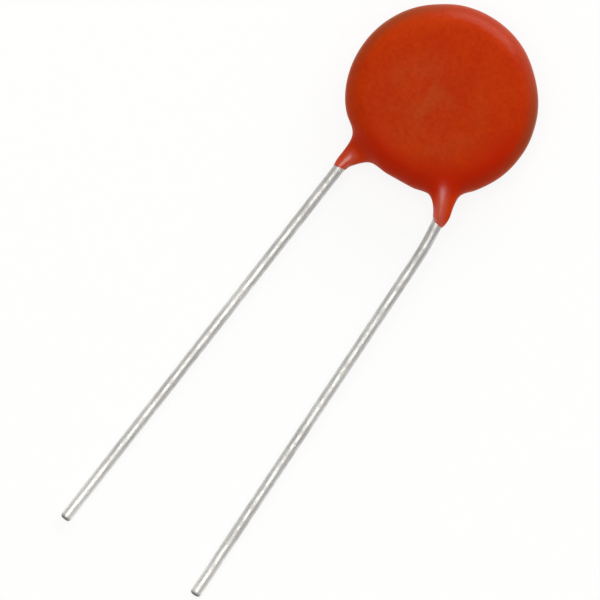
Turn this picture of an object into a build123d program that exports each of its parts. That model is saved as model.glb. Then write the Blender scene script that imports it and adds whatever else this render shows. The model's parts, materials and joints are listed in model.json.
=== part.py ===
from build123d import *
import os
from math import asin, atan2, cos, hypot, radians, sin, sqrt, tan

# Ceramic disc capacitor, lying on its rear face as it comes to rest, in millimetres.
# The floor is z = 0, the front face looks up and the two leads run towards -Y.
# The disc's axis is on X = 0, and the origin is under the middle of the whole length.

# Ceramic wafer and the silver films fired on its faces
ceramic_diameter = 9.2
ceramic_thickness = 1.0
electrode_margin = 0.4  # bare ceramic left round each film
electrode_thickness = 0.05

# Dipped coating
rim_cover = 0.9  # resin outside the wafer's rim
crown_cover = 0.46  # resin over the wires at the crown
crown_rise = 0.25  # of the face's middle over a flat face with the same round rim
sleeve_cover = 0.18  # resin round each wire where it runs down from the rim
sleeve_run = 1.52  # how far it runs down, from the rim
sleeve_taper = 0.6  # length over which each sleeve thins out at its end
sleeve_thinning_share = 0.75  # of its cover
sleeve_bend_share = 0.55  # of its last run, taken up by the gentle bend that it makes over the wire's turn
sleeve_blend = 0.8  # hollow blend between the rim and each sleeve

# Wires
wire_diameter = 0.64
bend_radius = 1.0
bend_clearance = 0.28  # from the end of the coating to the bend's corner
tip_break = 0.06  # bevel round each cut end
lead_length = 24.9  # bare, from the bend's corner
lead_pitch = 6.53  # between the bends' corners
pair_offset = 0.76  # of the pair's middle from the disc's axis
bend_level = 0.4  # of each wire's bend from the mid-plane
turn_clearance = 0.15  # past the wafer's rim before a wire turns in towards the mid-plane
contact_length = 4.4  # of wire lying along its film
front_lean_angle = 25.4  # degrees between the front wire's stretch in the coating and -Y
rear_lean_angle = 9.2  # degrees, the same for the rear wire
front_splay_angle = 2.25  # degrees that each bare stretch opens out from -Y
rear_splay_angle = 2.28  # degrees, the same for the rear wire

# Solder
solder_film = 0.05  # under each wire
bead_length = 3.6
bead_flat_share = 0.5  # of its length, between the tapered ends
bead_cover = 0.09  # over the wire at the bead's middle

# Worked out from the sizes above
wire_radius = wire_diameter / 2
ceramic_radius = ceramic_diameter / 2
electrode_radius = ceramic_radius - electrode_margin
coating_radius = ceramic_radius + rim_cover
film_level = ceramic_thickness / 2 + electrode_thickness
wire_level = film_level + solder_film + wire_radius
coating_half = wire_level + wire_radius + crown_cover
rim_round = coating_half - crown_rise
bend_reach = coating_radius + sleeve_run + bend_clearance
sleeve_radius = wire_radius + sleeve_cover
bead_radius = solder_film + wire_diameter + bead_cover


def bend_depth(across):
    """How far towards the tips from the disc's axis a bend lies that is this far across."""
    return sqrt(bend_reach**2 - across**2)


def bare_slope(level):
    """Angle at which a bare wire leaving at this level comes down to lie with its tip on the floor."""
    run = lead_length - tip_break
    return asin((level + coating_half) / hypot(run, wire_radius)) - atan2(wire_radius, run)


def lead_points(across, lean, splay, face):
    """Corners of one wire, from its end on the film to its tip. face is 1 in front and -1 at the rear."""
    side = 1 if across > 0 else -1
    inward = Vector(-side * sin(radians(lean)), cos(radians(lean)), 0)
    bend = Vector(across, -bend_depth(across), 0)
    along = bend.dot(inward)
    off_axis = bend.cross(inward).length
    turn = bend - inward * (along + sqrt((ceramic_radius + turn_clearance) ** 2 - off_axis**2))
    start = turn + inward * contact_length
    slope = bare_slope(face * bend_level)
    down = Vector(
        side * sin(radians(splay)) * cos(slope),
        -cos(radians(splay)) * cos(slope),
        -sin(slope),
    )
    on_film = Vector(0, 0, face * wire_level)
    at_bend = Vector(0, 0, face * bend_level)
    corners = [start + on_film, turn + on_film, bend + at_bend, bend + at_bend + down * lead_length]
    return [place + disc_centre for place in corners]


def tip_depth(across, splay, level):
    """How far towards the tips from the disc's axis the rim of a cut end reaches."""
    slope = bare_slope(level)
    return bend_depth(across) + lead_length * cos(radians(splay)) * cos(slope) + wire_radius * sin(slope)


front_across = pair_offset + lead_pitch / 2
rear_across = pair_offset - lead_pitch / 2
lowest = max(
    tip_depth(front_across, front_splay_angle, bend_level),
    tip_depth(rear_across, rear_splay_angle, -bend_level),
)
disc_centre = Vector(0, (lowest - coating_radius) / 2, coating_half)
mid_plane = Plane(disc_centre)
front_points = lead_points(front_across, front_lean_angle, front_splay_angle, 1)
rear_points = lead_points(rear_across, rear_lean_angle, rear_splay_angle, -1)

os.makedirs("parts", exist_ok=True)

# The sintered wafer
with BuildPart() as ceramic_disc:
    with BuildSketch(mid_plane.offset(-ceramic_thickness / 2)):
        Circle(ceramic_radius)
    extrude(amount=ceramic_thickness)

# The silver films, flat on its faces
with BuildPart() as front_electrode:
    with BuildSketch(mid_plane.offset(ceramic_thickness / 2)):
        Circle(electrode_radius)
    extrude(amount=electrode_thickness)

with BuildPart() as rear_electrode:
    with BuildSketch(mid_plane.offset(-ceramic_thickness / 2)):
        Circle(electrode_radius)
    extrude(amount=-electrode_thickness)

# The wires, each bent past the wafer's rim and again just below the coating
with BuildPart() as front_lead:
    with BuildLine() as front_route:
        FilletPolyline(*front_points, radius=bend_radius)
    with BuildSketch(Plane(front_route.line @ 0, z_dir=front_route.line % 0)):
        Circle(wire_radius)
    sweep(path=front_route.line)
    chamfer(front_lead.faces().sort_by(Axis.Y)[0].edges(), tip_break)

with BuildPart() as rear_lead:
    with BuildLine() as rear_route:
        FilletPolyline(*rear_points, radius=bend_radius)
    with BuildSketch(Plane(rear_route.line @ 0, z_dir=rear_route.line % 0)):
        Circle(wire_radius)
    sweep(path=rear_route.line)
    chamfer(rear_lead.faces().sort_by(Axis.Y)[0].edges(), tip_break)


def bead_plane(points, face):
    """Plane on a film, under the middle of the wire's contact, with x along the wire."""
    start, turn = points[0], points[1]
    middle = (start + turn) * 0.5 - Vector(0, 0, face * (wire_level - film_level))
    return Plane(middle, x_dir=turn - start, z_dir=(0, 0, face))


# The solder, a long bead that wets the film, closes over the wire and thins out at both ends
bead_flat = bead_length * bead_flat_share
bead_outline = [
    (-bead_length / 2, 0),
    (-bead_flat / 2, bead_radius),
    (bead_flat / 2, bead_radius),
    (bead_length / 2, 0),
]
front_bead = bead_plane(front_points, 1)
with BuildPart() as front_solder:
    with BuildSketch(front_bead):
        with BuildLine():
            Polyline(*bead_outline, close=True)
        make_face()
    revolve(axis=Axis(front_bead.origin, front_bead.x_dir), revolution_arc=180)
    add(front_lead.part, mode=Mode.SUBTRACT)

rear_bead = bead_plane(rear_points, -1)
with BuildPart() as rear_solder:
    with BuildSketch(rear_bead):
        with BuildLine():
            Polyline(*bead_outline, close=True)
        make_face()
    revolve(axis=Axis(rear_bead.origin, rear_bead.x_dir), revolution_arc=180)
    add(rear_lead.part, mode=Mode.SUBTRACT)

# The coating: a crowned disc with a round rim, run down each wire as a short sleeve
rim_centre = coating_radius - rim_round
crown_radius = (rim_centre**2 + coating_half**2 - rim_round**2) / (2 * crown_rise)
crown_angle = atan2(rim_centre, crown_radius - coating_half)


def on_crown(angle):
    """Distance out from the disc's axis and height over the mid-plane, at an angle along the crown."""
    return crown_radius * sin(angle), coating_half - crown_radius * (1 - cos(angle))


crown_end, crown_middle = on_crown(crown_angle), on_crown(crown_angle / 2)
rear_crown_end = (crown_end[0], -crown_end[1])
rear_crown_middle = (crown_middle[0], -crown_middle[1])

with BuildPart() as core:
    for piece in (ceramic_disc, front_electrode, rear_electrode, front_solder, rear_solder):
        add(piece.part)
    add(front_lead.part)
    add(rear_lead.part)

with BuildPart() as coating:
    with BuildSketch(Plane(disc_centre, x_dir=(0, 1, 0), z_dir=(1, 0, 0))):
        with BuildLine():
            ThreePointArc((0, coating_half), crown_middle, crown_end)
            ThreePointArc(crown_end, (coating_radius, 0), rear_crown_end)
            ThreePointArc(rear_crown_end, rear_crown_middle, (0, -coating_half))
            Line((0, -coating_half), (0, coating_half))
        make_face()
    revolve(axis=Axis(disc_centre, (0, 0, 1)))
    for points in (front_points, rear_points):
        start, turn, bend = points[:3]
        sleeve_end = bend + (turn - bend).normalized() * bend_clearance
        half_turn = radians((turn - start).get_angle(sleeve_end - turn)) / 2
        sleeve_bend = (sleeve_end - turn).length * sleeve_bend_share / tan(half_turn)
        with BuildLine() as sleeve_route:
            FilletPolyline(start, turn, sleeve_end, radius=sleeve_bend)
        with BuildSketch(Plane(sleeve_route.line @ 0, z_dir=sleeve_route.line % 0)):
            Circle(sleeve_radius)
        sweep(path=sleeve_route.line)
        fillet(coating.edges(Select.LAST).filter_by(GeomType.BSPLINE), sleeve_blend)
        end = coating.faces().filter_by(GeomType.PLANE).sort_by_distance(sleeve_end)[0]
        chamfer(end.edges(), sleeve_cover * sleeve_thinning_share, sleeve_taper, reference=end)
    add(core.part, mode=Mode.SUBTRACT)

for name, piece in (
    ("ceramic_disc", ceramic_disc),
    ("front_electrode", front_electrode),
    ("rear_electrode", rear_electrode),
    ("front_lead", front_lead),
    ("rear_lead", rear_lead),
    ("front_solder", front_solder),
    ("rear_solder", rear_solder),
    ("coating", coating),
):
    piece.part.label = name
    export_step(piece.part, f"parts/{name}.step")
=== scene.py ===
import json
import math

import bmesh
import bpy
from mathutils import Matrix, Vector, noise


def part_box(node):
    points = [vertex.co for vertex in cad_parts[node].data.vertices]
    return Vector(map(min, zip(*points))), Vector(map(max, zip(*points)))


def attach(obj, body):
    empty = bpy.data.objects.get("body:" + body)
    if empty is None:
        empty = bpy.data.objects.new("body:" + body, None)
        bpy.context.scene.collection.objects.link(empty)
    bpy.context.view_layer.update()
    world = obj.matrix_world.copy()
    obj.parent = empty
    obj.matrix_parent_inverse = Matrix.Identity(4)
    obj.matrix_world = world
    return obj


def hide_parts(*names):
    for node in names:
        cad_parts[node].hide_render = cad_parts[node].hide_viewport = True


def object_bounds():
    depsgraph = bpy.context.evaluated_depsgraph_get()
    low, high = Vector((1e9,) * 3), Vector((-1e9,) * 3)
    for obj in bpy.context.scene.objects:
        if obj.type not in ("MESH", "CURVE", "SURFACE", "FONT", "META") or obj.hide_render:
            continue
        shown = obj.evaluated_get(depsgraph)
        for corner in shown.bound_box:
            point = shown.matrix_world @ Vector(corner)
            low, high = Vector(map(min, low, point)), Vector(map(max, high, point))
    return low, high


# Dipped disc capacitor: an orange resin coat over the wafer and two tinned leads.
# Lengths are in metres, and MM turns a maker's millimetres into them.
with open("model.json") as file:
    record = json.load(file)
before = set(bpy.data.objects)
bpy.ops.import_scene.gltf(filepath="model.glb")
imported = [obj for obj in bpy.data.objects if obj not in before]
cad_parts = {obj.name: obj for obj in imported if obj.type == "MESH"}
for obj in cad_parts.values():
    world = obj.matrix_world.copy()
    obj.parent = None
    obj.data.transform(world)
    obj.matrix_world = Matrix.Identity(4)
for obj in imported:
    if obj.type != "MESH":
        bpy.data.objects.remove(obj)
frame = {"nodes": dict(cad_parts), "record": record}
cad_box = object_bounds()
MM = 0.001

# Where the coat and the wires lie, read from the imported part
coat_low, coat_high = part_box("coating")
disc_radius = (coat_high.x - coat_low.x) / 2
disc_half = (coat_high.z - coat_low.z) / 2
disc_centre = Vector((0, coat_high.y - disc_radius, disc_half))
mounts = {m["name"]: m for m in frame["record"]["mounts"]}
wire_radius = mounts["front_lead_pin"]["dims"]["r_mm"] * MM
tips_y = cad_box[0].y

# The plain disc under the dip's unevenness: crowned faces and a round rim
CROWN_RISE = 0.25 * MM
CROWN_STEPS = 9
RIM_STEPS = 14
TURN_STEPS = 120
rim_round = disc_half - CROWN_RISE
rim_centre = disc_radius - rim_round
crown_radius = (rim_centre**2 + disc_half**2 - rim_round**2) / (2 * CROWN_RISE)
crown_angle = math.atan2(rim_centre, crown_radius - disc_half)
rim_sweep = math.pi - 2 * crown_angle
rim_step = rim_sweep / RIM_STEPS
turn_step = 2 * math.pi / TURN_STEPS

# Leg roots, set in steps of the disc's mesh: azimuth round the disc, elevation round the rim's edge
LEG_GAP_STEPS = 20
FRONT_ROOT_STEPS = 2
REAR_ROOT_STEPS = -1
FRONT_AZIMUTH = math.radians(-53.3)
rear_azimuth = FRONT_AZIMUTH - LEG_GAP_STEPS * turn_step
front_elevation = FRONT_ROOT_STEPS * rim_step
rear_elevation = REAR_ROOT_STEPS * rim_step
# Lower edge of the disc, which is painted redder and darker as shade
LOW_AZIMUTH = math.radians(-56)


def on_rim(azimuth, elevation):
    """Point of the plain round rim."""
    out = rim_centre + rim_round * math.cos(elevation)
    return disc_centre + Vector((
        out * math.cos(azimuth),
        out * math.sin(azimuth),
        rim_round * math.sin(elevation)))


def smooth_step(start, end, value):
    """0 up to the start and 1 from the end on, with an eased change between them."""
    share = min(1.0, max(0.0, (value - start) / (end - start)))
    return share * share * (3 - 2 * share)


def bump(value, middle, spread):
    """1 in the middle, falling off to nothing over about twice the spread."""
    return math.exp(-(((value - middle) / spread) ** 2))


def new_piece(name, bm, material, node):
    """Closes a bmesh into a smooth object that stands for a CAD node."""
    mesh = bpy.data.meshes.new(name)
    bm.to_mesh(mesh)
    bm.free()
    for face in mesh.polygons:
        face.use_smooth = True
    piece = bpy.data.objects.new(name, mesh)
    bpy.context.scene.collection.objects.link(piece)
    mesh.materials.append(material)
    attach(piece, "root")
    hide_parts(node)
    return piece


# Node helpers

RANGE_SOCKETS = ("From Min", "From Max", "To Min", "To Max")
# Sockets of a Mix node that blends colours, which share their names with those for numbers
MIX_SHARE, MIX_FIRST, MIX_SECOND, MIX_RESULT = 0, 6, 7, 2
# Between these lies most of what a noise gives
NOISE_LOW, NOISE_HIGH = 0.3, 0.7
NOISE_SPREAD = (NOISE_LOW, NOISE_HIGH)


def new_material(name):
    material = bpy.data.materials.new(name)
    material.use_nodes = True
    tree = material.node_tree
    return material, tree, tree.nodes["Principled BSDF"]


def set_sockets(node, values):
    for key, value in values.items():
        node.inputs[key].default_value = value


def add_node(tree, kind, **settings):
    """New node, with its sockets and its own settings given by name."""
    node = tree.nodes.new(kind)
    for key, value in settings.items():
        if key in node.inputs:
            node.inputs[key].default_value = value
        else:
            setattr(node, key, value)
    return node


def object_place(tree):
    """Object coordinates in metres."""
    return add_node(tree, "ShaderNodeTexCoord").outputs["Object"]


def object_point(tree, stretch=(1, 1, 1)):
    """Object coordinates in millimetres, stretched along the axes."""
    node = add_node(tree, "ShaderNodeMapping", Scale=[s / MM for s in stretch])
    tree.links.new(object_place(tree), node.inputs["Vector"])
    return node.outputs["Vector"]


def point_from(tree, point, middle, reach):
    """A point as seen from a middle, in shares of a reach along each axis."""
    node = add_node(tree, "ShaderNodeMapping", vector_type="TEXTURE", Location=middle, Scale=reach)
    tree.links.new(point, node.inputs["Vector"])
    return node.outputs["Vector"]


def split_point(tree, point):
    node = add_node(tree, "ShaderNodeSeparateXYZ")
    tree.links.new(point, node.inputs["Vector"])
    return node.outputs


def length_of(tree, point):
    node = add_node(tree, "ShaderNodeVectorMath", operation="LENGTH")
    tree.links.new(point, node.inputs[0])
    return node.outputs["Value"]


def reach_of(tree, point, way):
    """How far a point lies along a way."""
    node = add_node(tree, "ShaderNodeVectorMath", operation="DOT_PRODUCT")
    tree.links.new(point, node.inputs[0])
    node.inputs[1].default_value = way
    return node.outputs["Value"]


def own_value(tree, name):
    """Attribute that a piece carries on its vertices."""
    return add_node(tree, "ShaderNodeAttribute", attribute_name=name).outputs["Fac"]


def noise_of(tree, point, size, detail=3.0, roughness=0.5, distortion=0.0):
    """Noise with features about this many millimetres across."""
    node = add_node(
        tree, "ShaderNodeTexNoise", Scale=1 / size, Detail=detail, Roughness=roughness, Distortion=distortion)
    tree.links.new(point, node.inputs["Vector"])
    return node.outputs["Fac"]


def spots_of(tree, point, size):
    """Distance to the nearest of scattered spots that lie about this many millimetres apart."""
    node = add_node(tree, "ShaderNodeTexVoronoi", Scale=1 / size)
    tree.links.new(point, node.inputs["Vector"])
    return node.outputs["Distance"]


def ramp_of(tree, value, stops):
    """Value to colour or grey, by stops of (place, grey or colour)."""
    node = add_node(tree, "ShaderNodeValToRGB")
    elements = node.color_ramp.elements
    while len(elements) < len(stops):
        elements.new(0.5)
    for element, (place, colour) in zip(elements, stops):
        element.position = place
        if not hasattr(colour, "__len__"):
            colour = (colour, colour, colour)
        element.color = (*colour, 1)
    tree.links.new(value, node.inputs["Fac"])
    return node.outputs["Color"]


def range_of(tree, value, within, to, kind="SMOOTHSTEP"):
    """Carries a value from one range over to another, and holds it at their ends."""
    node = add_node(tree, "ShaderNodeMapRange", interpolation_type=kind)
    set_sockets(node, dict(zip(RANGE_SOCKETS, (*within, *to))))
    tree.links.new(value, node.inputs["Value"])
    return node.outputs["Result"]


def maths_of(tree, kind, first, second=0.0):
    node = add_node(tree, "ShaderNodeMath", operation=kind)
    for socket, value in zip(node.inputs, (first, second)):
        if isinstance(value, (int, float)):
            socket.default_value = value
        else:
            tree.links.new(value, socket)
    return node.outputs["Value"]


def blend_of(tree, share, first, second, kind="MIX"):
    """Colour between two, where the share and the colours are fixed or come from other nodes."""
    node = add_node(tree, "ShaderNodeMix", data_type="RGBA", blend_type=kind)
    for index, value in ((MIX_SHARE, share), (MIX_FIRST, first), (MIX_SECOND, second)):
        if hasattr(value, "is_linked"):
            tree.links.new(value, node.inputs[index])
        elif hasattr(value, "__len__"):
            node.inputs[index].default_value = (*value, 1)
        else:
            node.inputs[index].default_value = value
    return node.outputs[MIX_RESULT]


def bump_of(tree, height, distance, strength, below=None):
    """Relief in the surface, on top of the relief below where there is one."""
    node = add_node(tree, "ShaderNodeBump", Strength=strength, Distance=distance)
    tree.links.new(height, node.inputs["Height"])
    if below is not None:
        tree.links.new(below, node.inputs["Normal"])
    return node.outputs["Normal"]


# Finishes

WHITE = (1.0, 1.0, 1.0)
DIP_DEEP = (0.435, 0.024, 0.0003)
DIP_BODY = (0.46, 0.0315, 0.0006)
DIP_PALE = (0.485, 0.039, 0.0012)
DIP_FLECK = (0.88, 0.70, 0.55)
# Painted haze of reflected overhead light
DIP_PAINTED_HAZE = (0.44, 0.049, 0.0075)
# Painted shade along the lower edge
DIP_LOW_SHADE = (0.435, 0.0145, 0.0003)
# Painted shade and painted grazing reflection round the rim
DIP_RIM_SHADE_AND_SHEEN = (0.27, 0.037, 0.006)
DIP_LEG = (0.53, 0.035, 0.0006)
DIP_SHEEN = (1.0, 0.77, 0.50, 1)
# Middle of the painted haze of reflected overhead light, from the disc's axis, and its reach along each axis,
# in millimetres
HAZE_ACROSS, HAZE_BELOW = -0.4, 0.9
HAZE_REACH = (4.3, 3.9, 40)
# Reach that leaves the height out of account
FLATTENED = (1, 1, 1000)
LEG_POLISH = 0.14
RIM_GLOSS = 0.16


def dip_colour(tree, point, smooth_rim):
    """Orange-red with faint blotches, a painted haze of reflected overhead light, painted shade that makes it
    redder along the lower edge and browner round the rim with a painted grazing reflection, and more orange
    down the legs."""
    blotch = noise_of(tree, point, size=2.6, detail=4.0, roughness=0.55, distortion=0.4)
    body = ramp_of(tree, blotch, [(NOISE_LOW, DIP_DEEP), (0.50, DIP_BODY), (NOISE_HIGH, DIP_PALE)])
    # Painted haze: the overhead light's reflection, painted in patches over the middle of the faces
    haze_middle = (HAZE_ACROSS, disc_centre.y / MM - HAZE_BELOW, disc_half / MM)
    from_middle = length_of(tree, point_from(tree, point, haze_middle, HAZE_REACH))
    painted_haze = range_of(tree, from_middle, (0.25, 1.0), (0.85, 0.0))
    patch = noise_of(tree, point, size=1.7, distortion=0.6)
    painted_haze = maths_of(tree, "MULTIPLY", painted_haze, range_of(tree, patch, (0.36, 0.60), (0.15, 1.1)))
    body = blend_of(tree, painted_haze, body, DIP_PAINTED_HAZE)
    # Fine mottling
    fleck = noise_of(tree, point, size=0.26, roughness=0.65)
    mottling = ramp_of(tree, fleck, [(NOISE_LOW, DIP_FLECK), (NOISE_HIGH, WHITE)])
    body = blend_of(tree, 1.0, body, mottling, "MULTIPLY")
    # Distance from the disc's axis, and how far towards the lower edge, in millimetres
    level_point = point_from(tree, point, (0, disc_centre.y / MM, disc_half / MM), FLATTENED)
    from_axis = length_of(tree, level_point)
    towards_low = reach_of(tree, level_point, (math.cos(LOW_AZIMUTH), math.sin(LOW_AZIMUTH), 0))
    # Painted shade: redder and darker along the lower edge, which the light falls on least
    near_edge = range_of(tree, from_axis, (3.0, 4.7), (0, 1))
    low_side = range_of(tree, towards_low, (0.6, 3.2), (0, 1))
    body = blend_of(tree, maths_of(tree, "MULTIPLY", near_edge, low_side), body, DIP_LOW_SHADE)
    # Painted shade and painted grazing reflection: browner round the rim's edge, less so towards the legs and
    # on the glossy stretch
    place = split_point(tree, object_place(tree))
    off_middle = maths_of(tree, "ABSOLUTE", maths_of(tree, "SUBTRACT", place["Z"], disc_half))
    near_middle = range_of(tree, off_middle, (0.80 * MM, 1.36 * MM), (0.8, 0))
    above_legs = range_of(
        tree, place["Y"], (disc_centre.y - 4.5 * MM, disc_centre.y + 3 * MM), (0.1, 1.2))
    rim_shade_and_sheen = maths_of(tree, "MULTIPLY", near_middle, above_legs)
    rim_shade_and_sheen = maths_of(tree, "MULTIPLY", rim_shade_and_sheen, range_of(tree, smooth_rim, (0, 1), (1, 0.2)))
    body = blend_of(tree, rim_shade_and_sheen, body, DIP_RIM_SHADE_AND_SHEEN)
    # More orange down the legs
    past_edge = range_of(tree, from_axis, (4.95, 5.95), (0, 1))
    leg_side = range_of(tree, towards_low, (1.8, 3.6), (0, 1))
    return blend_of(tree, maths_of(tree, "MULTIPLY", past_edge, leg_side), body, DIP_LEG)


def make_orange_dip():
    """Satin resin with a fine peel and pinholes, glossy down the legs and a little so on the smoother rim."""
    material, tree, shader = new_material("orange_dip")
    point = object_point(tree)
    leg = own_value(tree, "wetness")
    smooth_rim = own_value(tree, "smooth_rim")
    tree.links.new(dip_colour(tree, point, smooth_rim), shader.inputs["Base Color"])
    rough = range_of(tree, noise_of(tree, point, size=1.1), NOISE_SPREAD, (0.46, 0.58))
    rough = maths_of(tree, "SUBTRACT", rough, maths_of(tree, "MULTIPLY", leg, LEG_POLISH))
    tree.links.new(rough, shader.inputs["Roughness"])
    gloss = maths_of(tree, "MAXIMUM", leg, maths_of(tree, "MULTIPLY", smooth_rim, RIM_GLOSS))
    tree.links.new(gloss, shader.inputs["Coat Weight"])
    set_sockets(shader, {
        "Specular IOR Level": 0.03,
        "Sheen Weight": 0.36,
        "Sheen Roughness": 0.3,
        "Sheen Tint": DIP_SHEEN,
        "Coat Roughness": 0.26,
        "Coat IOR": 1.85,
    })
    peel = noise_of(tree, point, size=0.34, detail=2.0)
    skin = bump_of(tree, peel, distance=0.02 * MM, strength=0.45)
    pit = range_of(tree, spots_of(tree, point, size=0.75), (0.02, 0.085), (0, 1))
    skin = bump_of(tree, pit, distance=0.012 * MM, strength=0.5, below=skin)
    tree.links.new(skin, shader.inputs["Normal"])
    return material


TIN_BRIGHT = (0.93, 0.926, 0.905)
TIN_DULL = (0.735, 0.73, 0.705)
DRAW_DARK = (0.635, 0.63, 0.61)
DRAW_PALE = (1.0, 0.996, 0.976)
DRAW_SHARE = 0.35
# Painted shade at the cut tip
TIP_SHADE_GREY = (0.17, 0.155, 0.135)
# The patterns of the draw lines and of the nicks are drawn out along the wires
LINE_STRETCH = (1, 0.045, 1)
NICK_STRETCH = (1, 0.6, 1)
# Below the disc's centre the coat ends and the tin is dullest, and over this run it brightens
COAT_END_BELOW = 5.8 * MM
DULL_RUN = 9 * MM
# Above the lowest tip, where the tin begins to brighten once more and where it is brightest
TIP_SHINE_FROM, TIP_SHINE_TO = 5.6 * MM, 2.2 * MM


def make_tinned_wire():
    """Drawn tinned wire: dull by the coat, brighter by the tip, with draw lines, patches and small nicks."""
    material, tree, shader = new_material("tinned_wire")
    point = object_point(tree)
    draw = noise_of(tree, object_point(tree, LINE_STRETCH), size=0.09)
    patch = noise_of(tree, point, size=0.5, detail=4.0, roughness=0.6)
    tin = blend_of(tree, ramp_of(tree, patch, [(0.35, 0.0), (0.7, 1.0)]), TIN_BRIGHT, TIN_DULL)
    lines = ramp_of(tree, draw, [(NOISE_LOW, DRAW_DARK), (NOISE_HIGH, DRAW_PALE)])
    tin = blend_of(tree, DRAW_SHARE, tin, lines)
    # Shine along the wire, with faint tarnish
    along = split_point(tree, object_place(tree))["Y"]
    coat_end = disc_centre.y - COAT_END_BELOW
    shine = range_of(tree, along, (coat_end, coat_end - DULL_RUN), (0.695, 0.835))
    near_tip = range_of(tree, along, (tips_y + TIP_SHINE_FROM, tips_y + TIP_SHINE_TO), (0, 0.17))
    shine = maths_of(tree, "ADD", shine, near_tip)
    tarnish = noise_of(tree, point, size=1.8, detail=2.0)
    shine = maths_of(tree, "ADD", shine, range_of(tree, tarnish, (0.35, 0.65), (-0.05, 0.04)))
    tin = blend_of(tree, 1.0, tin, shine, "MULTIPLY")
    # Painted shade: dark grey over the cut tip
    tin = blend_of(tree, own_value(tree, "cut_end"), tin, TIP_SHADE_GREY)
    tree.links.new(tin, shader.inputs["Base Color"])
    shader.inputs["Metallic"].default_value = 1.0
    patch_rough = range_of(tree, patch, NOISE_SPREAD, (0.41, 0.60))
    line_rough = range_of(tree, draw, NOISE_SPREAD, (-0.04, 0.06))
    tree.links.new(maths_of(tree, "ADD", patch_rough, line_rough), shader.inputs["Roughness"])
    grain = bump_of(tree, draw, distance=0.014 * MM, strength=0.8)
    nick_spots = spots_of(tree, object_point(tree, NICK_STRETCH), size=0.5)
    nick = range_of(tree, nick_spots, (0.03, 0.16), (0, 1))
    grain = bump_of(tree, nick, distance=0.016 * MM, strength=0.7, below=grain)
    tree.links.new(grain, shader.inputs["Normal"])
    return material


# Darker and paler spots of the pieces inside
CERAMIC_CLOUDS = (0.46, 0.35, 0.25), (0.54, 0.42, 0.30)
CERAMIC_GRAINS = (0.43, 0.32, 0.22), (0.57, 0.45, 0.33)
SILVER_CLOUDS = (0.76, 0.75, 0.72), (0.84, 0.83, 0.81)
SOLDER_FROST, SOLDER_BRIGHT = (0.52, 0.52, 0.53), (0.64, 0.64, 0.63)
FROST_LOW, FROST_HIGH = 0.35, 0.65


def make_fired_ceramic():
    """Tan titanate wafer, dry and finely grained."""
    material, tree, shader = new_material("fired_ceramic")
    point = object_point(tree)
    grain = noise_of(tree, point, size=0.12, detail=4.0)
    cloud = noise_of(tree, point, size=1.8)
    clouds = ramp_of(tree, cloud, list(zip(NOISE_SPREAD, CERAMIC_CLOUDS)))
    grains = ramp_of(tree, grain, list(zip(NOISE_SPREAD, CERAMIC_GRAINS)))
    tree.links.new(blend_of(tree, 0.5, clouds, grains), shader.inputs["Base Color"])
    tree.links.new(range_of(tree, grain, NOISE_SPREAD, (0.62, 0.8)), shader.inputs["Roughness"])
    tree.links.new(bump_of(tree, grain, distance=0.01 * MM, strength=0.5), shader.inputs["Normal"])
    return material


def make_silver_film():
    """Fired silver paste: pale, matt metal with a printed grain."""
    material, tree, shader = new_material("silver_film")
    point = object_point(tree)
    grain = noise_of(tree, point, size=0.08)
    cloud = noise_of(tree, point, size=1.2)
    clouds = ramp_of(tree, cloud, list(zip(NOISE_SPREAD, SILVER_CLOUDS)))
    tree.links.new(clouds, shader.inputs["Base Color"])
    shader.inputs["Metallic"].default_value = 1.0
    tree.links.new(range_of(tree, grain, NOISE_SPREAD, (0.42, 0.6)), shader.inputs["Roughness"])
    tree.links.new(bump_of(tree, grain, distance=0.006 * MM, strength=0.5), shader.inputs["Normal"])
    return material


def make_solder():
    """Set solder: grey metal, bright with frosty patches."""
    material, tree, shader = new_material("set_solder")
    frost = noise_of(tree, object_point(tree), size=0.5, detail=4.0, roughness=0.6)
    grey = ramp_of(tree, frost, [(FROST_LOW, SOLDER_BRIGHT), (FROST_HIGH, SOLDER_FROST)])
    tree.links.new(grey, shader.inputs["Base Color"])
    shader.inputs["Metallic"].default_value = 1.0
    tree.links.new(range_of(tree, frost, (FROST_LOW, FROST_HIGH), (0.2, 0.5)), shader.inputs["Roughness"])
    tree.links.new(bump_of(tree, frost, distance=0.02 * MM, strength=0.3), shader.inputs["Normal"])
    return material


orange_dip = make_orange_dip()
tinned_wire = make_tinned_wire()
fired_ceramic = make_fired_ceramic()
silver_film = make_silver_film()
set_solder = make_solder()
# The pieces inside the coat keep their solids and only get a finish
for node_name, finish in (
    ("ceramic_disc", fired_ceramic),
    ("front_electrode", silver_film),
    ("rear_electrode", silver_film),
    ("front_solder", set_solder),
    ("rear_solder", set_solder),
):
    materials = frame["nodes"][node_name].data.materials
    materials.clear()
    materials.append(finish)


# Wires

BEND_RADIUS = 1.0 * MM
BEND_STEPS = 6
# The gentle bend that the front wire makes below the coat
EASE_RADIUS = 16 * MM
EASE_RUN = 1.45 * MM
EASE_ANGLE = math.radians(7.5)
# From the disc's centre: each wire's end on its film, and its turn past the wafer
FRONT_START = Vector((1.03 * MM, 0.22 * MM, 0.92 * MM))
FRONT_TURN = Vector((2.91 * MM, -3.75 * MM, 0.90 * MM))
REAR_START = Vector((-1.382 * MM, 0.076 * MM, -0.92 * MM))
REAR_TURN = Vector((-2.086 * MM, -4.268 * MM, -0.92 * MM))
# How far towards the tips from the disc's centre each wire bends at the coat's end
FRONT_BEND = 5.70 * MM
REAR_BEND = 6.50 * MM
# The worn cut end: millimetres back from the tip, and share of the wire's radius
TIP_ROUND = [(0, 0.58), (0.03, 0.76), (0.09, 0.91), (0.17, 0.985), (0.25, 1.0), (0.30, 1.0)]
TIP_INSET_SHARE = 0.2
# Where the painted shade at the cut tip begins to fade, and where it ends
CUT_FADE = (0.02 * MM, 0.28 * MM)
WIRE_SIDES = 32
RUN_STEP = 1.1 * MM
WIRE_MERGE = 0.0005 * MM


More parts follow.
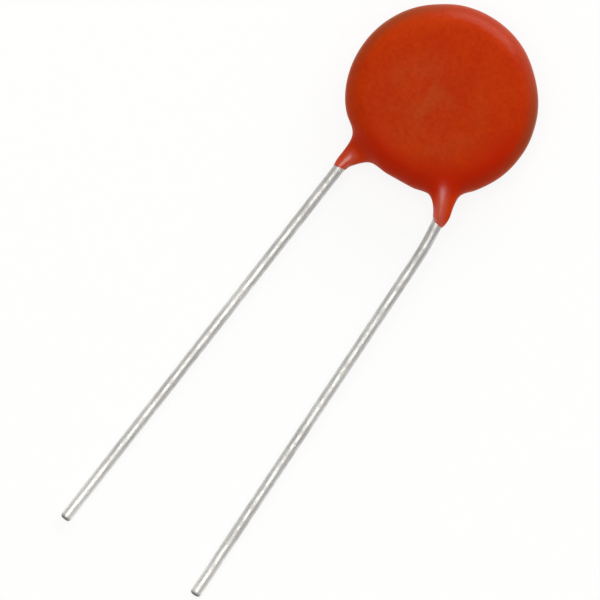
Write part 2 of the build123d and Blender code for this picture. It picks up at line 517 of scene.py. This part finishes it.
def wire_corners(mount, lead_low, start, turn, bend_below, ease_angle=0.0):
    """Corners of a lead: its end on the film, the turn past the wafer, the bend at the coat's end, the tip.
    With an ease angle, the bare wire also has a gentle bend a little below the coat."""
    middle = Vector(mount["pos_m"])
    axis = Vector(mount["axis"]).normalized()
    bend = middle + axis * ((disc_centre.y - bend_below - middle.y) / axis.y)
    # The tip's lower rim is the lowest point in Y, so the axis ends a little short of it
    rim_drop = wire_radius * math.sqrt(max(0.0, 1 - axis.y**2))
    tip = middle + axis * ((lead_low.y + rim_drop - mount["pos_m"][1]) / axis.y)
    inner = [disc_centre + start, disc_centre + turn]
    if not ease_angle:
        return inner + [bend, tip]
    ease = bend + axis * EASE_RUN
    bend = ease - Matrix.Rotation(ease_angle, 3, "Z") @ axis * EASE_RUN
    return inner + [bend, ease, tip]


front_corners = wire_corners(
    mounts["front_lead_pin"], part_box("front_lead")[0], FRONT_START, FRONT_TURN, FRONT_BEND, EASE_ANGLE)
rear_corners = wire_corners(
    mounts["rear_lead_pin"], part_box("rear_lead")[0], REAR_START, REAR_TURN, REAR_BEND)


def ring_edges(geometry):
    verts = {v for v in geometry if isinstance(v, bmesh.types.BMVert)}
    return [e for e in geometry if isinstance(e, bmesh.types.BMEdge) and set(e.verts) <= verts]


def run_ring(bm, ring, step, widen=1.0):
    """Carries an open ring of edges along by a step, and returns the new ring."""
    grown = bmesh.ops.extrude_edge_only(bm, edges=ring)["geom"]
    verts = [v for v in grown if isinstance(v, bmesh.types.BMVert)]
    bmesh.ops.translate(bm, verts=verts, vec=step)
    if widen != 1.0:
        middle = sum((v.co for v in verts), Vector()) / len(verts)
        bmesh.ops.scale(bm, verts=verts, vec=(widen,) * 3, space=Matrix.Translation(-middle))
    return ring_edges(grown)


def make_wire(name, corners, node):
    """A drawn wire with round bends, from its cut tip to its end on the film."""
    corners = corners[::-1]
    tip = corners[0]
    # A gentle bend where there is a fifth corner, then the bend at the coat's end and the turn past the wafer
    radii = [EASE_RADIUS] * (len(corners) - 4) + [BEND_RADIUS] * 2
    way = (corners[1] - tip).normalized()
    facing = Vector((0, 0, 1)).rotation_difference(way).to_matrix().to_4x4()
    bm = bmesh.new()
    bmesh.ops.create_circle(
        bm, cap_ends=True, segments=WIRE_SIDES, radius=wire_radius * TIP_ROUND[0][1],
        matrix=Matrix.Translation(tip) @ facing)
    bmesh.ops.inset_region(
        bm, faces=list(bm.faces), thickness=wire_radius * TIP_INSET_SHARE, use_boundary=True)
    ring = [e for e in bm.edges if e.is_boundary]
    # The cut end's worn edge
    place = tip.copy()
    for (back, share), (next_back, next_share) in zip(TIP_ROUND, TIP_ROUND[1:]):
        step = way * (next_back - back) * MM
        ring = run_ring(bm, ring, step, next_share / share)
        place += step
    # Straight runs, with a round bend at each corner but the last
    heading = way
    for index in range(1, len(corners)):
        corner = corners[index]
        last = index == len(corners) - 1
        reach = 0.0
        if not last:
            onward = (corners[index + 1] - corner).normalized()
            turn_angle = heading.angle(onward)
            radius = radii[index - 1]
            reach = radius * math.tan(turn_angle / 2)
        run = (corner - place).length - reach
        steps = max(1, round(run / RUN_STEP))
        for _ in range(steps):
            ring = run_ring(bm, ring, heading * (run / steps))
        if last:
            break
        pivot_axis = heading.cross(onward).normalized()
        inward = pivot_axis.cross(heading).normalized()
        pivot = place + heading * run + inward * radius
        spun = bmesh.ops.spin(
            bm, geom=ring + list({v for e in ring for v in e.verts}), cent=pivot, axis=pivot_axis,
            angle=turn_angle, steps=BEND_STEPS, use_duplicate=False)
        ring = ring_edges(spun["geom_last"])
        place = corner + onward * reach
        heading = onward
    bmesh.ops.holes_fill(bm, edges=ring, sides=WIRE_SIDES)
    bmesh.ops.remove_doubles(bm, verts=bm.verts[:], dist=WIRE_MERGE)
    bmesh.ops.recalc_face_normals(bm, faces=bm.faces[:])
    # Painted shade: dark grey over the cut tip, fading out into the tin
    tip_shade = bm.verts.layers.float.new("cut_end")
    for vert in bm.verts:
        vert[tip_shade] = 1 - smooth_step(*CUT_FADE, (vert.co - tip).dot(way))
    new_piece(name, bm, tinned_wire, node)


make_wire("front_wire", front_corners, "front_lead")
make_wire("rear_wire", rear_corners, "rear_lead")


# Coat

# Each ring of a leg: back from the bend, its reach to the left and right of the wire and its half thickness,
# spread of the ring on the rim, all in millimetres, and how far the ring has left the rim for the wire
FRONT_LEG = [
    (1.72, 0.98, 1.12, 0.90, 1.02, 0.15),
    (1.52, 0.82, 0.97, 0.80, 0.90, 0.40),
    (1.28, 0.60, 0.83, 0.68, 0.80, 0.70),
    (1.00, 0.43, 0.73, 0.58, 0.70, 0.92),
    (0.70, 0.385, 0.70, 0.52, 0.60, 1.0),
    (0.40, 0.36, 0.63, 0.48, 0.60, 1.0),
    (0.16, 0.35, 0.52, 0.44, 0.60, 1.0),
    (0.0, 0.34, 0.42, 0.39, 0.60, 1.0),
    (-0.08, 0.33, 0.36, 0.345, 0.60, 1.0),
    (-0.14, 0.31, 0.31, 0.31, 0.60, 1.0),
    (-0.02, 0.20, 0.20, 0.20, 0.60, 1.0),
]
REAR_LEG = [
    (1.72, 0.80, 1.20, 0.90, 1.02, 0.15),
    (1.50, 0.70, 1.02, 0.80, 0.90, 0.40),
    (1.25, 0.64, 0.80, 0.68, 0.80, 0.70),
    (0.95, 0.58, 0.58, 0.58, 0.70, 0.92),
    (0.68, 0.53, 0.43, 0.52, 0.60, 1.0),
    (0.44, 0.47, 0.36, 0.46, 0.60, 1.0),
    (0.26, 0.42, 0.345, 0.42, 0.60, 1.0),
    (0.11, 0.37, 0.335, 0.38, 0.60, 1.0),
    (0.03, 0.33, 0.325, 0.34, 0.60, 1.0),
    (0.0, 0.31, 0.31, 0.31, 0.60, 1.0),
    (0.10, 0.20, 0.20, 0.20, 0.60, 1.0),
]
# How much further up the wire the resin ends on one side, and millimetres from the bend where that fades out
LEG_SLANT = 0.11 * MM
SLANT_FADE = (0.1, 0.8)
# Half the side of the patch that a leg grows from, in steps of the mesh, and its spread once it is round
ROOT_STEPS = 4
ROOT_SPREAD = 1.20 * MM
# Resin flowing into the corner at a root: its reach, the stretch of leg left alone, rounds and their share
ROOT_FLOW = 1.75 * MM
ROOT_CLEAR = 0.55 * MM
ROOT_SOFTENING = 8
ROOT_SHARE = 0.5
# Drained edge: depth in millimetres, degrees from the middle of the legs, and width in degrees
DRAINED_EDGE = ((0.34, 0, 21), (0.10, -42, 12))
# Flats where the dip ran off unevenly: azimuth in degrees, depth in millimetres and width in degrees
RIM_FLATS = ((50, 0.055, 17), (127, 0.03, 9), (-30, 0.04, 10), (-124, 0.05, 10))
# Share of the disc's radius from which the drained edge and the flats set in
EDGE_START = 0.55
# Ridge over the front wire: its rise and width, where along the wire it sets in, and shares of the disc's
# radius at which it has gone and is still whole
RIDGE_RISE = 0.06 * MM
RIDGE_WIDTH = 0.6 * MM
RIDGE_START = (0.4 * MM, 2.6 * MM)
RIDGE_END = (1.0, 0.75)
# Waves of the skin: their length, their depth in millimetres, and how far the skin is sunk to hold them
LONG_WAVE, LONG_DEPTH = 2.4 * MM, 0.022
SHORT_WAVE, SHORT_DEPTH = 0.9 * MM, 0.008
SHORT_SHIFT = Vector((7, 3, 1))
WAVE_SINK = 0.008
# The skin's outward way leans this many times more to the faces than a ball's does
FACE_LEAN = 3
# Gloss of each leg, and where it fades: beside the wire, off it, and up towards the disc
FRONT_GLOSS, REAR_GLOSS = 1.0, 0.8
WET_BESIDE = (0.12 * MM, 0.46 * MM)
WET_OFF = (0.62 * MM, 0.90 * MM)
WET_UP = (1.6 * MM, 2.4 * MM)
# The rim's smoother stretch: its middle, its spread in degrees, and shares of the radius where it sets in
SMOOTH_AZIMUTH = math.radians(86)
SMOOTH_SPREAD = 50
SMOOTH_FROM, SMOOTH_TO = 0.78, 0.92
COAT_MERGE = 0.001 * MM
COAT_SMOOTHING = 2
# Decimals by which a vertex is known again after it was extruded
PLACE_DIGITS = 9


def spun_profile(bm):
    """Half outline of the disc at the front leg, from the front pole round the rim to the rear pole."""
    side = Vector((-math.sin(FRONT_AZIMUTH), math.cos(FRONT_AZIMUTH), 0))
    ahead = Vector((math.cos(FRONT_AZIMUTH), math.sin(FRONT_AZIMUTH), 0))
    last = bmesh.ops.create_vert(bm, co=disc_centre + Vector((0, 0, disc_half)))["vert"]
    for pivot, angle, steps in (
        (disc_centre + Vector((0, 0, disc_half - crown_radius)), crown_angle, CROWN_STEPS),
        (disc_centre + ahead * rim_centre, rim_sweep, RIM_STEPS),
        (disc_centre - Vector((0, 0, disc_half - crown_radius)), crown_angle, CROWN_STEPS),
    ):
        spun = bmesh.ops.spin(
            bm, geom=last, cent=pivot, axis=side, angle=angle, steps=steps, use_duplicate=False)
        last = [v for v in spun["geom_last"] if isinstance(v, bmesh.types.BMVert)]


def rim_place(co):
    """Azimuth and rim elevation of a point of the plain disc, and its distance from the axis."""
    rel = co - disc_centre
    out = math.hypot(rel.x, rel.y)
    return math.atan2(rel.y, rel.x), math.atan2(rel.z, out - rim_centre), out


def near_turn(angle):
    """The same angle within half a turn either way."""
    return (angle + math.pi) % (2 * math.pi) - math.pi


def root_patch(bm, azimuth, elevation):
    """The square of faces of the rim that a leg grows from."""
    patch = []
    for face in bm.faces:
        spot_azimuth, spot_elevation, out = rim_place(face.calc_center_median())
        if (
            out > rim_centre
            and abs(near_turn(spot_azimuth - azimuth)) < ROOT_STEPS * turn_step
            and abs(spot_elevation - elevation) < ROOT_STEPS * rim_step
        ):
            patch.append(face)
    return patch


def root_point(azimuth, elevation, angle, spread):
    """Point of the plain rim this far from a leg's root, at an angle round it."""
    mean_out = rim_centre + rim_round * math.cos(elevation)
    return on_rim(
        azimuth + spread * math.cos(angle) / mean_out,
        elevation + spread * math.sin(angle) / rim_round)


def round_patch(patch, azimuth, elevation):
    """Draws the patch's square outline in to a round one.
    Returns each vertex's angle round the root and its share of the spread."""
    shares = {}
    for vert in {v for f in patch for v in f.verts}:
        spot_azimuth, spot_elevation, _ = rim_place(vert.co)
        across = near_turn(spot_azimuth - azimuth) / turn_step
        up = (spot_elevation - elevation) / rim_step
        angle = math.atan2(up, across)
        share = max(abs(across), abs(up)) / ROOT_STEPS
        shares[vert] = (angle, share)
        vert.co = root_point(azimuth, elevation, angle, ROOT_SPREAD * share)
    return shares


def dipped(co):
    """A point of the plain disc moved by the unevenness of the dip."""
    azimuth, _, out = rim_place(co)
    rel = co - disc_centre
    flat = Vector((rel.x, rel.y, 0))
    # Drained edge between the legs, and a little beyond the rear one
    away = math.degrees(near_turn(azimuth - (FRONT_AZIMUTH + rear_azimuth) / 2))
    pull = 0.0
    for depth, turned, width in DRAINED_EDGE:
        pull += depth * MM * bump(away, turned, width)
    # Faint flats elsewhere
    for turned, depth, width in RIM_FLATS:
        pull += depth * MM * bump(math.degrees(near_turn(azimuth - math.radians(turned))), 0, width)
    moved = co.copy()
    if flat.length > 0:
        moved -= flat.normalized() * pull * smooth_step(EDGE_START * disc_radius, disc_radius, out)
    # Faint ridge over the front wire
    if rel.z > 0:
        ridge_way = (front_corners[1] - front_corners[0]).normalized()
        from_start = (co - front_corners[0]).dot(ridge_way)
        beside = (co - front_corners[0]) - ridge_way * from_start
        beside.z = 0
        along = smooth_step(*RIDGE_START, from_start) * smooth_step(*RIDGE_END, out / disc_radius)
        moved.z += RIDGE_RISE * along * bump(beside.length, 0, RIDGE_WIDTH)
    # Waves of the skin, which only go in
    long_wave = noise.noise(co / LONG_WAVE) * LONG_DEPTH
    short_wave = noise.noise(co / SHORT_WAVE + SHORT_SHIFT) * SHORT_DEPTH
    outward = Vector((rel.x, rel.y, rel.z * FACE_LEAN)).normalized()
    return moved + outward * min(long_wave + short_wave - WAVE_SINK, 0) * MM


def grow_leg(bm, patch, shares, root, corners, rings, slant):
    """Extrudes a patch of the rim along a wire, from rings that follow the rim to rings round the wire.
    The slant is how much further up the resin ends on the wire's right than in the middle."""
    turn, bend, onward = corners[1:4]
    inward = (turn - bend).normalized()
    outward = (onward - bend).normalized()
    places = {vert.co.to_tuple(PLACE_DIGITS): share for vert, share in shares.items()}
    for back, left, right, half_depth, spread, on_wire in rings:
        grown = bmesh.ops.extrude_face_region(bm, geom=patch)["geom"]
        bmesh.ops.delete(bm, geom=patch, context="FACES")
        patch = [f for f in grown if isinstance(f, bmesh.types.BMFace)]
        way = inward if back > 0 else -outward
        across = way.cross(Vector((0, 0, 1))).normalized()
        up = across.cross(way).normalized()
        middle = bend + way * back * MM
        moved = {}
        for vert in {v for f in patch for v in f.verts}:
            angle, share = places[vert.co.to_tuple(PLACE_DIGITS)]
            half_width = right if math.cos(angle) > 0 else left
            higher = slant * (1 - smooth_step(*SLANT_FADE, back)) * share * math.cos(angle)
            ring_point = (
                middle + across * (half_width * MM * share * math.cos(angle))
                + up * (half_depth * MM * share * math.sin(angle)) + way * higher)
            foot_point = dipped(root_point(*root, angle, spread * MM * share))
            vert.co = foot_point.lerp(ring_point, on_wire)
            moved[vert.co.to_tuple(PLACE_DIGITS)] = (angle, share)
        places = moved


def soften_root(bm, root, corners):
    """Lets the resin flow into the corner between the rim and a leg."""
    foot = dipped(on_rim(*root))
    turn, bend = corners[1:3]
    inward = (turn - bend).normalized()
    corner = [
        v for v in bm.verts
        if (v.co - foot).length < ROOT_FLOW and (v.co - bend).dot(inward) > ROOT_CLEAR]
    for _ in range(ROOT_SOFTENING):
        bmesh.ops.smooth_vert(
            bm, verts=corner, factor=ROOT_SHARE, use_axis_x=True, use_axis_y=True, use_axis_z=True)


def wetness(co):
    """1 along the middle of the front leg, where the resin set glossy, and a little less along the rear one,
    fading out to 0 at their sides and on the disc."""
    share = 0.0
    for corners, gloss in ((front_corners, FRONT_GLOSS), (rear_corners, REAR_GLOSS)):
        turn, bend = corners[1:3]
        inward = (turn - bend).normalized()
        along = (co - bend).dot(inward)
        beside = abs((co - bend).dot(inward.cross(Vector((0, 0, 1))).normalized()))
        off_wire = (co - bend - inward * along).length
        on_leg = (1 - smooth_step(*WET_BESIDE, beside)) * (1 - smooth_step(*WET_OFF, off_wire))
        share = max(share, gloss * on_leg * (1 - smooth_step(*WET_UP, along)))
    return share


def rim_smoothness(co):
    """1 in the middle of the rim's smoother stretch, opposite the legs,
    fading out along it and towards the faces."""
    azimuth, _, out = rim_place(co)
    turned = math.degrees(near_turn(azimuth - SMOOTH_AZIMUTH))
    on_edge = smooth_step(SMOOTH_FROM * disc_radius, SMOOTH_TO * disc_radius, out)
    return on_edge * bump(turned, 0, SMOOTH_SPREAD)


def make_coat():
    """The dipped skin: a spun disc with two legs grown out of its rim."""
    bm = bmesh.new()
    spun_profile(bm)
    bmesh.ops.spin(
        bm, geom=bm.verts[:] + bm.edges[:], cent=disc_centre, axis=(0, 0, 1), angle=2 * math.pi,
        steps=TURN_STEPS, use_merge=True, use_duplicate=False)
    bmesh.ops.remove_doubles(bm, verts=bm.verts[:], dist=COAT_MERGE)
    bmesh.ops.recalc_face_normals(bm, faces=bm.faces[:])
    legs = (
        ((FRONT_AZIMUTH, front_elevation), front_corners, FRONT_LEG, -LEG_SLANT),
        ((rear_azimuth, rear_elevation), rear_corners, REAR_LEG, LEG_SLANT),
    )
    patches = []
    for root, _, _, _ in legs:
        patch = root_patch(bm, *root)
        patches.append((patch, round_patch(patch, *root)))
    for vert in bm.verts:
        vert.co = dipped(vert.co)
    for (patch, shares), leg in zip(patches, legs):
        grow_leg(bm, patch, shares, *leg)
    for root, corners, _, _ in legs:
        soften_root(bm, root, corners)
    wet = bm.verts.layers.float.new("wetness")
    even = bm.verts.layers.float.new("smooth_rim")
    for vert in bm.verts:
        vert[wet] = wetness(vert.co)
        vert[even] = rim_smoothness(vert.co)
    bmesh.ops.recalc_face_normals(bm, faces=bm.faces[:])
    coat = new_piece("dipped_coat", bm, orange_dip, "coating")
    smooth = coat.modifiers.new("smooth", "SUBSURF")
    smooth.levels = smooth.render_levels = COAT_SMOOTHING


make_coat()


# Floor, light and camera

FLOOR_HALF = 3.0
FLOOR_SEGMENTS = 8
# Greys of the paper's fibres
FIBRE_GREYS = (0.945, 0.96)
# Share of plain white in the floor where it is looked at
FLOOR_WHITE = 0.85
# Strength of the room's light at the level of the bench, and overhead
ROOM_LIGHT = (0.52, 0.36)
WARM_WHITE = (1.0, 0.97, 0.92)
OVERHEAD_SHIFT, OVERHEAD_HEIGHT = -0.10, 0.8
OVERHEAD_SIZE = (0.66, 0.66)
OVERHEAD_RADIANCE = 2.5
SIDE_AZIMUTH = math.radians(97)
SIDE_ELEVATION = math.radians(20)
SIDE_DISTANCE = 0.8
SIDE_SIZE = (0.75, 0.56)
SIDE_RADIANCE = 3.2
# The picture: its width at the disc's mid-plane, its middle from the disc's, and where the part's +Y points
FIELD = 33.9 * MM
LENS = 400.0
SENSOR = 36.0
PICTURE_ACROSS, PICTURE_BELOW = 0.087 * MM, 13.839 * MM
Y_RIGHT, Y_UP = 0.5845, 0.8114


def seen_ray(tree):
    """1 for what the camera sees, straight, in a reflection or through something clear."""
    path = add_node(tree, "ShaderNodeLightPath")
    seen = maths_of(tree, "MAXIMUM", path.outputs["Is Camera Ray"], path.outputs["Is Glossy Ray"])
    return maths_of(tree, "MAXIMUM", seen, path.outputs["Is Transmission Ray"])


def make_floor():
    """White paper on the bench."""
    bm = bmesh.new()
    bmesh.ops.create_grid(bm, x_segments=FLOOR_SEGMENTS, y_segments=FLOOR_SEGMENTS, size=FLOOR_HALF)
    mesh = bpy.data.meshes.new("floor")
    bm.to_mesh(mesh)
    bm.free()
    floor = bpy.data.objects.new("floor", mesh)
    bpy.context.scene.collection.objects.link(floor)
    material, tree, shader = new_material("white_paper")
    fibre = noise_of(tree, object_point(tree), size=0.7)
    greys = ramp_of(tree, fibre, list(zip(NOISE_SPREAD, FIBRE_GREYS)))
    tree.links.new(greys, shader.inputs["Base Color"])
    set_sockets(shader, {"Roughness": 0.9, "Specular IOR Level": 0.0})
    # White where it is looked at, also in reflections, and the shadow lies lightly on it
    paper = add_node(tree, "ShaderNodeMixShader")
    white = add_node(tree, "ShaderNodeEmission")
    tree.links.new(maths_of(tree, "MULTIPLY", seen_ray(tree), FLOOR_WHITE), paper.inputs[0])
    tree.links.new(shader.outputs["BSDF"], paper.inputs[1])
    tree.links.new(white.outputs["Emission"], paper.inputs[2])
    tree.links.new(paper.outputs["Shader"], tree.nodes["Material Output"].inputs["Surface"])
    mesh.materials.append(material)


def soft_panel(name, place, aim, size, radiance):
    """A flat softbox, by its size across and along and the light that each spot of it gives."""
    lamp = bpy.data.lights.new(name, "AREA")
    lamp.shape = "RECTANGLE"
    lamp.size, lamp.size_y = size
    lamp.energy = radiance * math.pi * size[0] * size[1]
    lamp.color = WARM_WHITE
    light = bpy.data.objects.new(name, lamp)
    light.location = place
    light.rotation_euler = (Vector(aim) - Vector(place)).to_track_quat("-Z", "Y").to_euler()
    bpy.context.scene.collection.objects.link(light)


def make_studio():
    """Pale room, lighter at the level of the bench."""
    world = bpy.data.worlds.new("studio")
    bpy.context.scene.world = world
    world.use_nodes = True
    tree = world.node_tree
    way = split_point(tree, add_node(tree, "ShaderNodeTexCoord").outputs["Generated"])
    background = tree.nodes["Background"]
    tree.links.new(range_of(tree, way["Z"], (0, 1), ROOM_LIGHT, "LINEAR"), background.inputs["Strength"])
    background.inputs["Color"].default_value = (*WHITE, 1)


make_floor()
make_studio()
soft_panel(
    "overhead_soft", (OVERHEAD_SHIFT, 0, OVERHEAD_HEIGHT), (OVERHEAD_SHIFT, 0, 0), OVERHEAD_SIZE,
    OVERHEAD_RADIANCE)
side_place = (
    SIDE_DISTANCE * math.cos(SIDE_ELEVATION) * math.cos(SIDE_AZIMUTH),
    SIDE_DISTANCE * math.cos(SIDE_ELEVATION) * math.sin(SIDE_AZIMUTH),
    SIDE_DISTANCE * math.sin(SIDE_ELEVATION))
soft_panel("side_soft", side_place, (0, 0, 0), SIDE_SIZE, SIDE_RADIANCE)

camera_data = bpy.data.cameras.new("bench_camera")
camera_data.lens = LENS
camera_data.sensor_width = SENSOR
camera = bpy.data.objects.new("bench_camera", camera_data)
camera.location = (PICTURE_ACROSS, disc_centre.y - PICTURE_BELOW, disc_half + FIELD * LENS / SENSOR)
camera.rotation_euler = (0, 0, math.atan2(Y_RIGHT, Y_UP))
bpy.context.scene.collection.objects.link(camera)
bpy.context.scene.camera = camera
bpy.context.scene.view_settings.view_transform = "Standard"
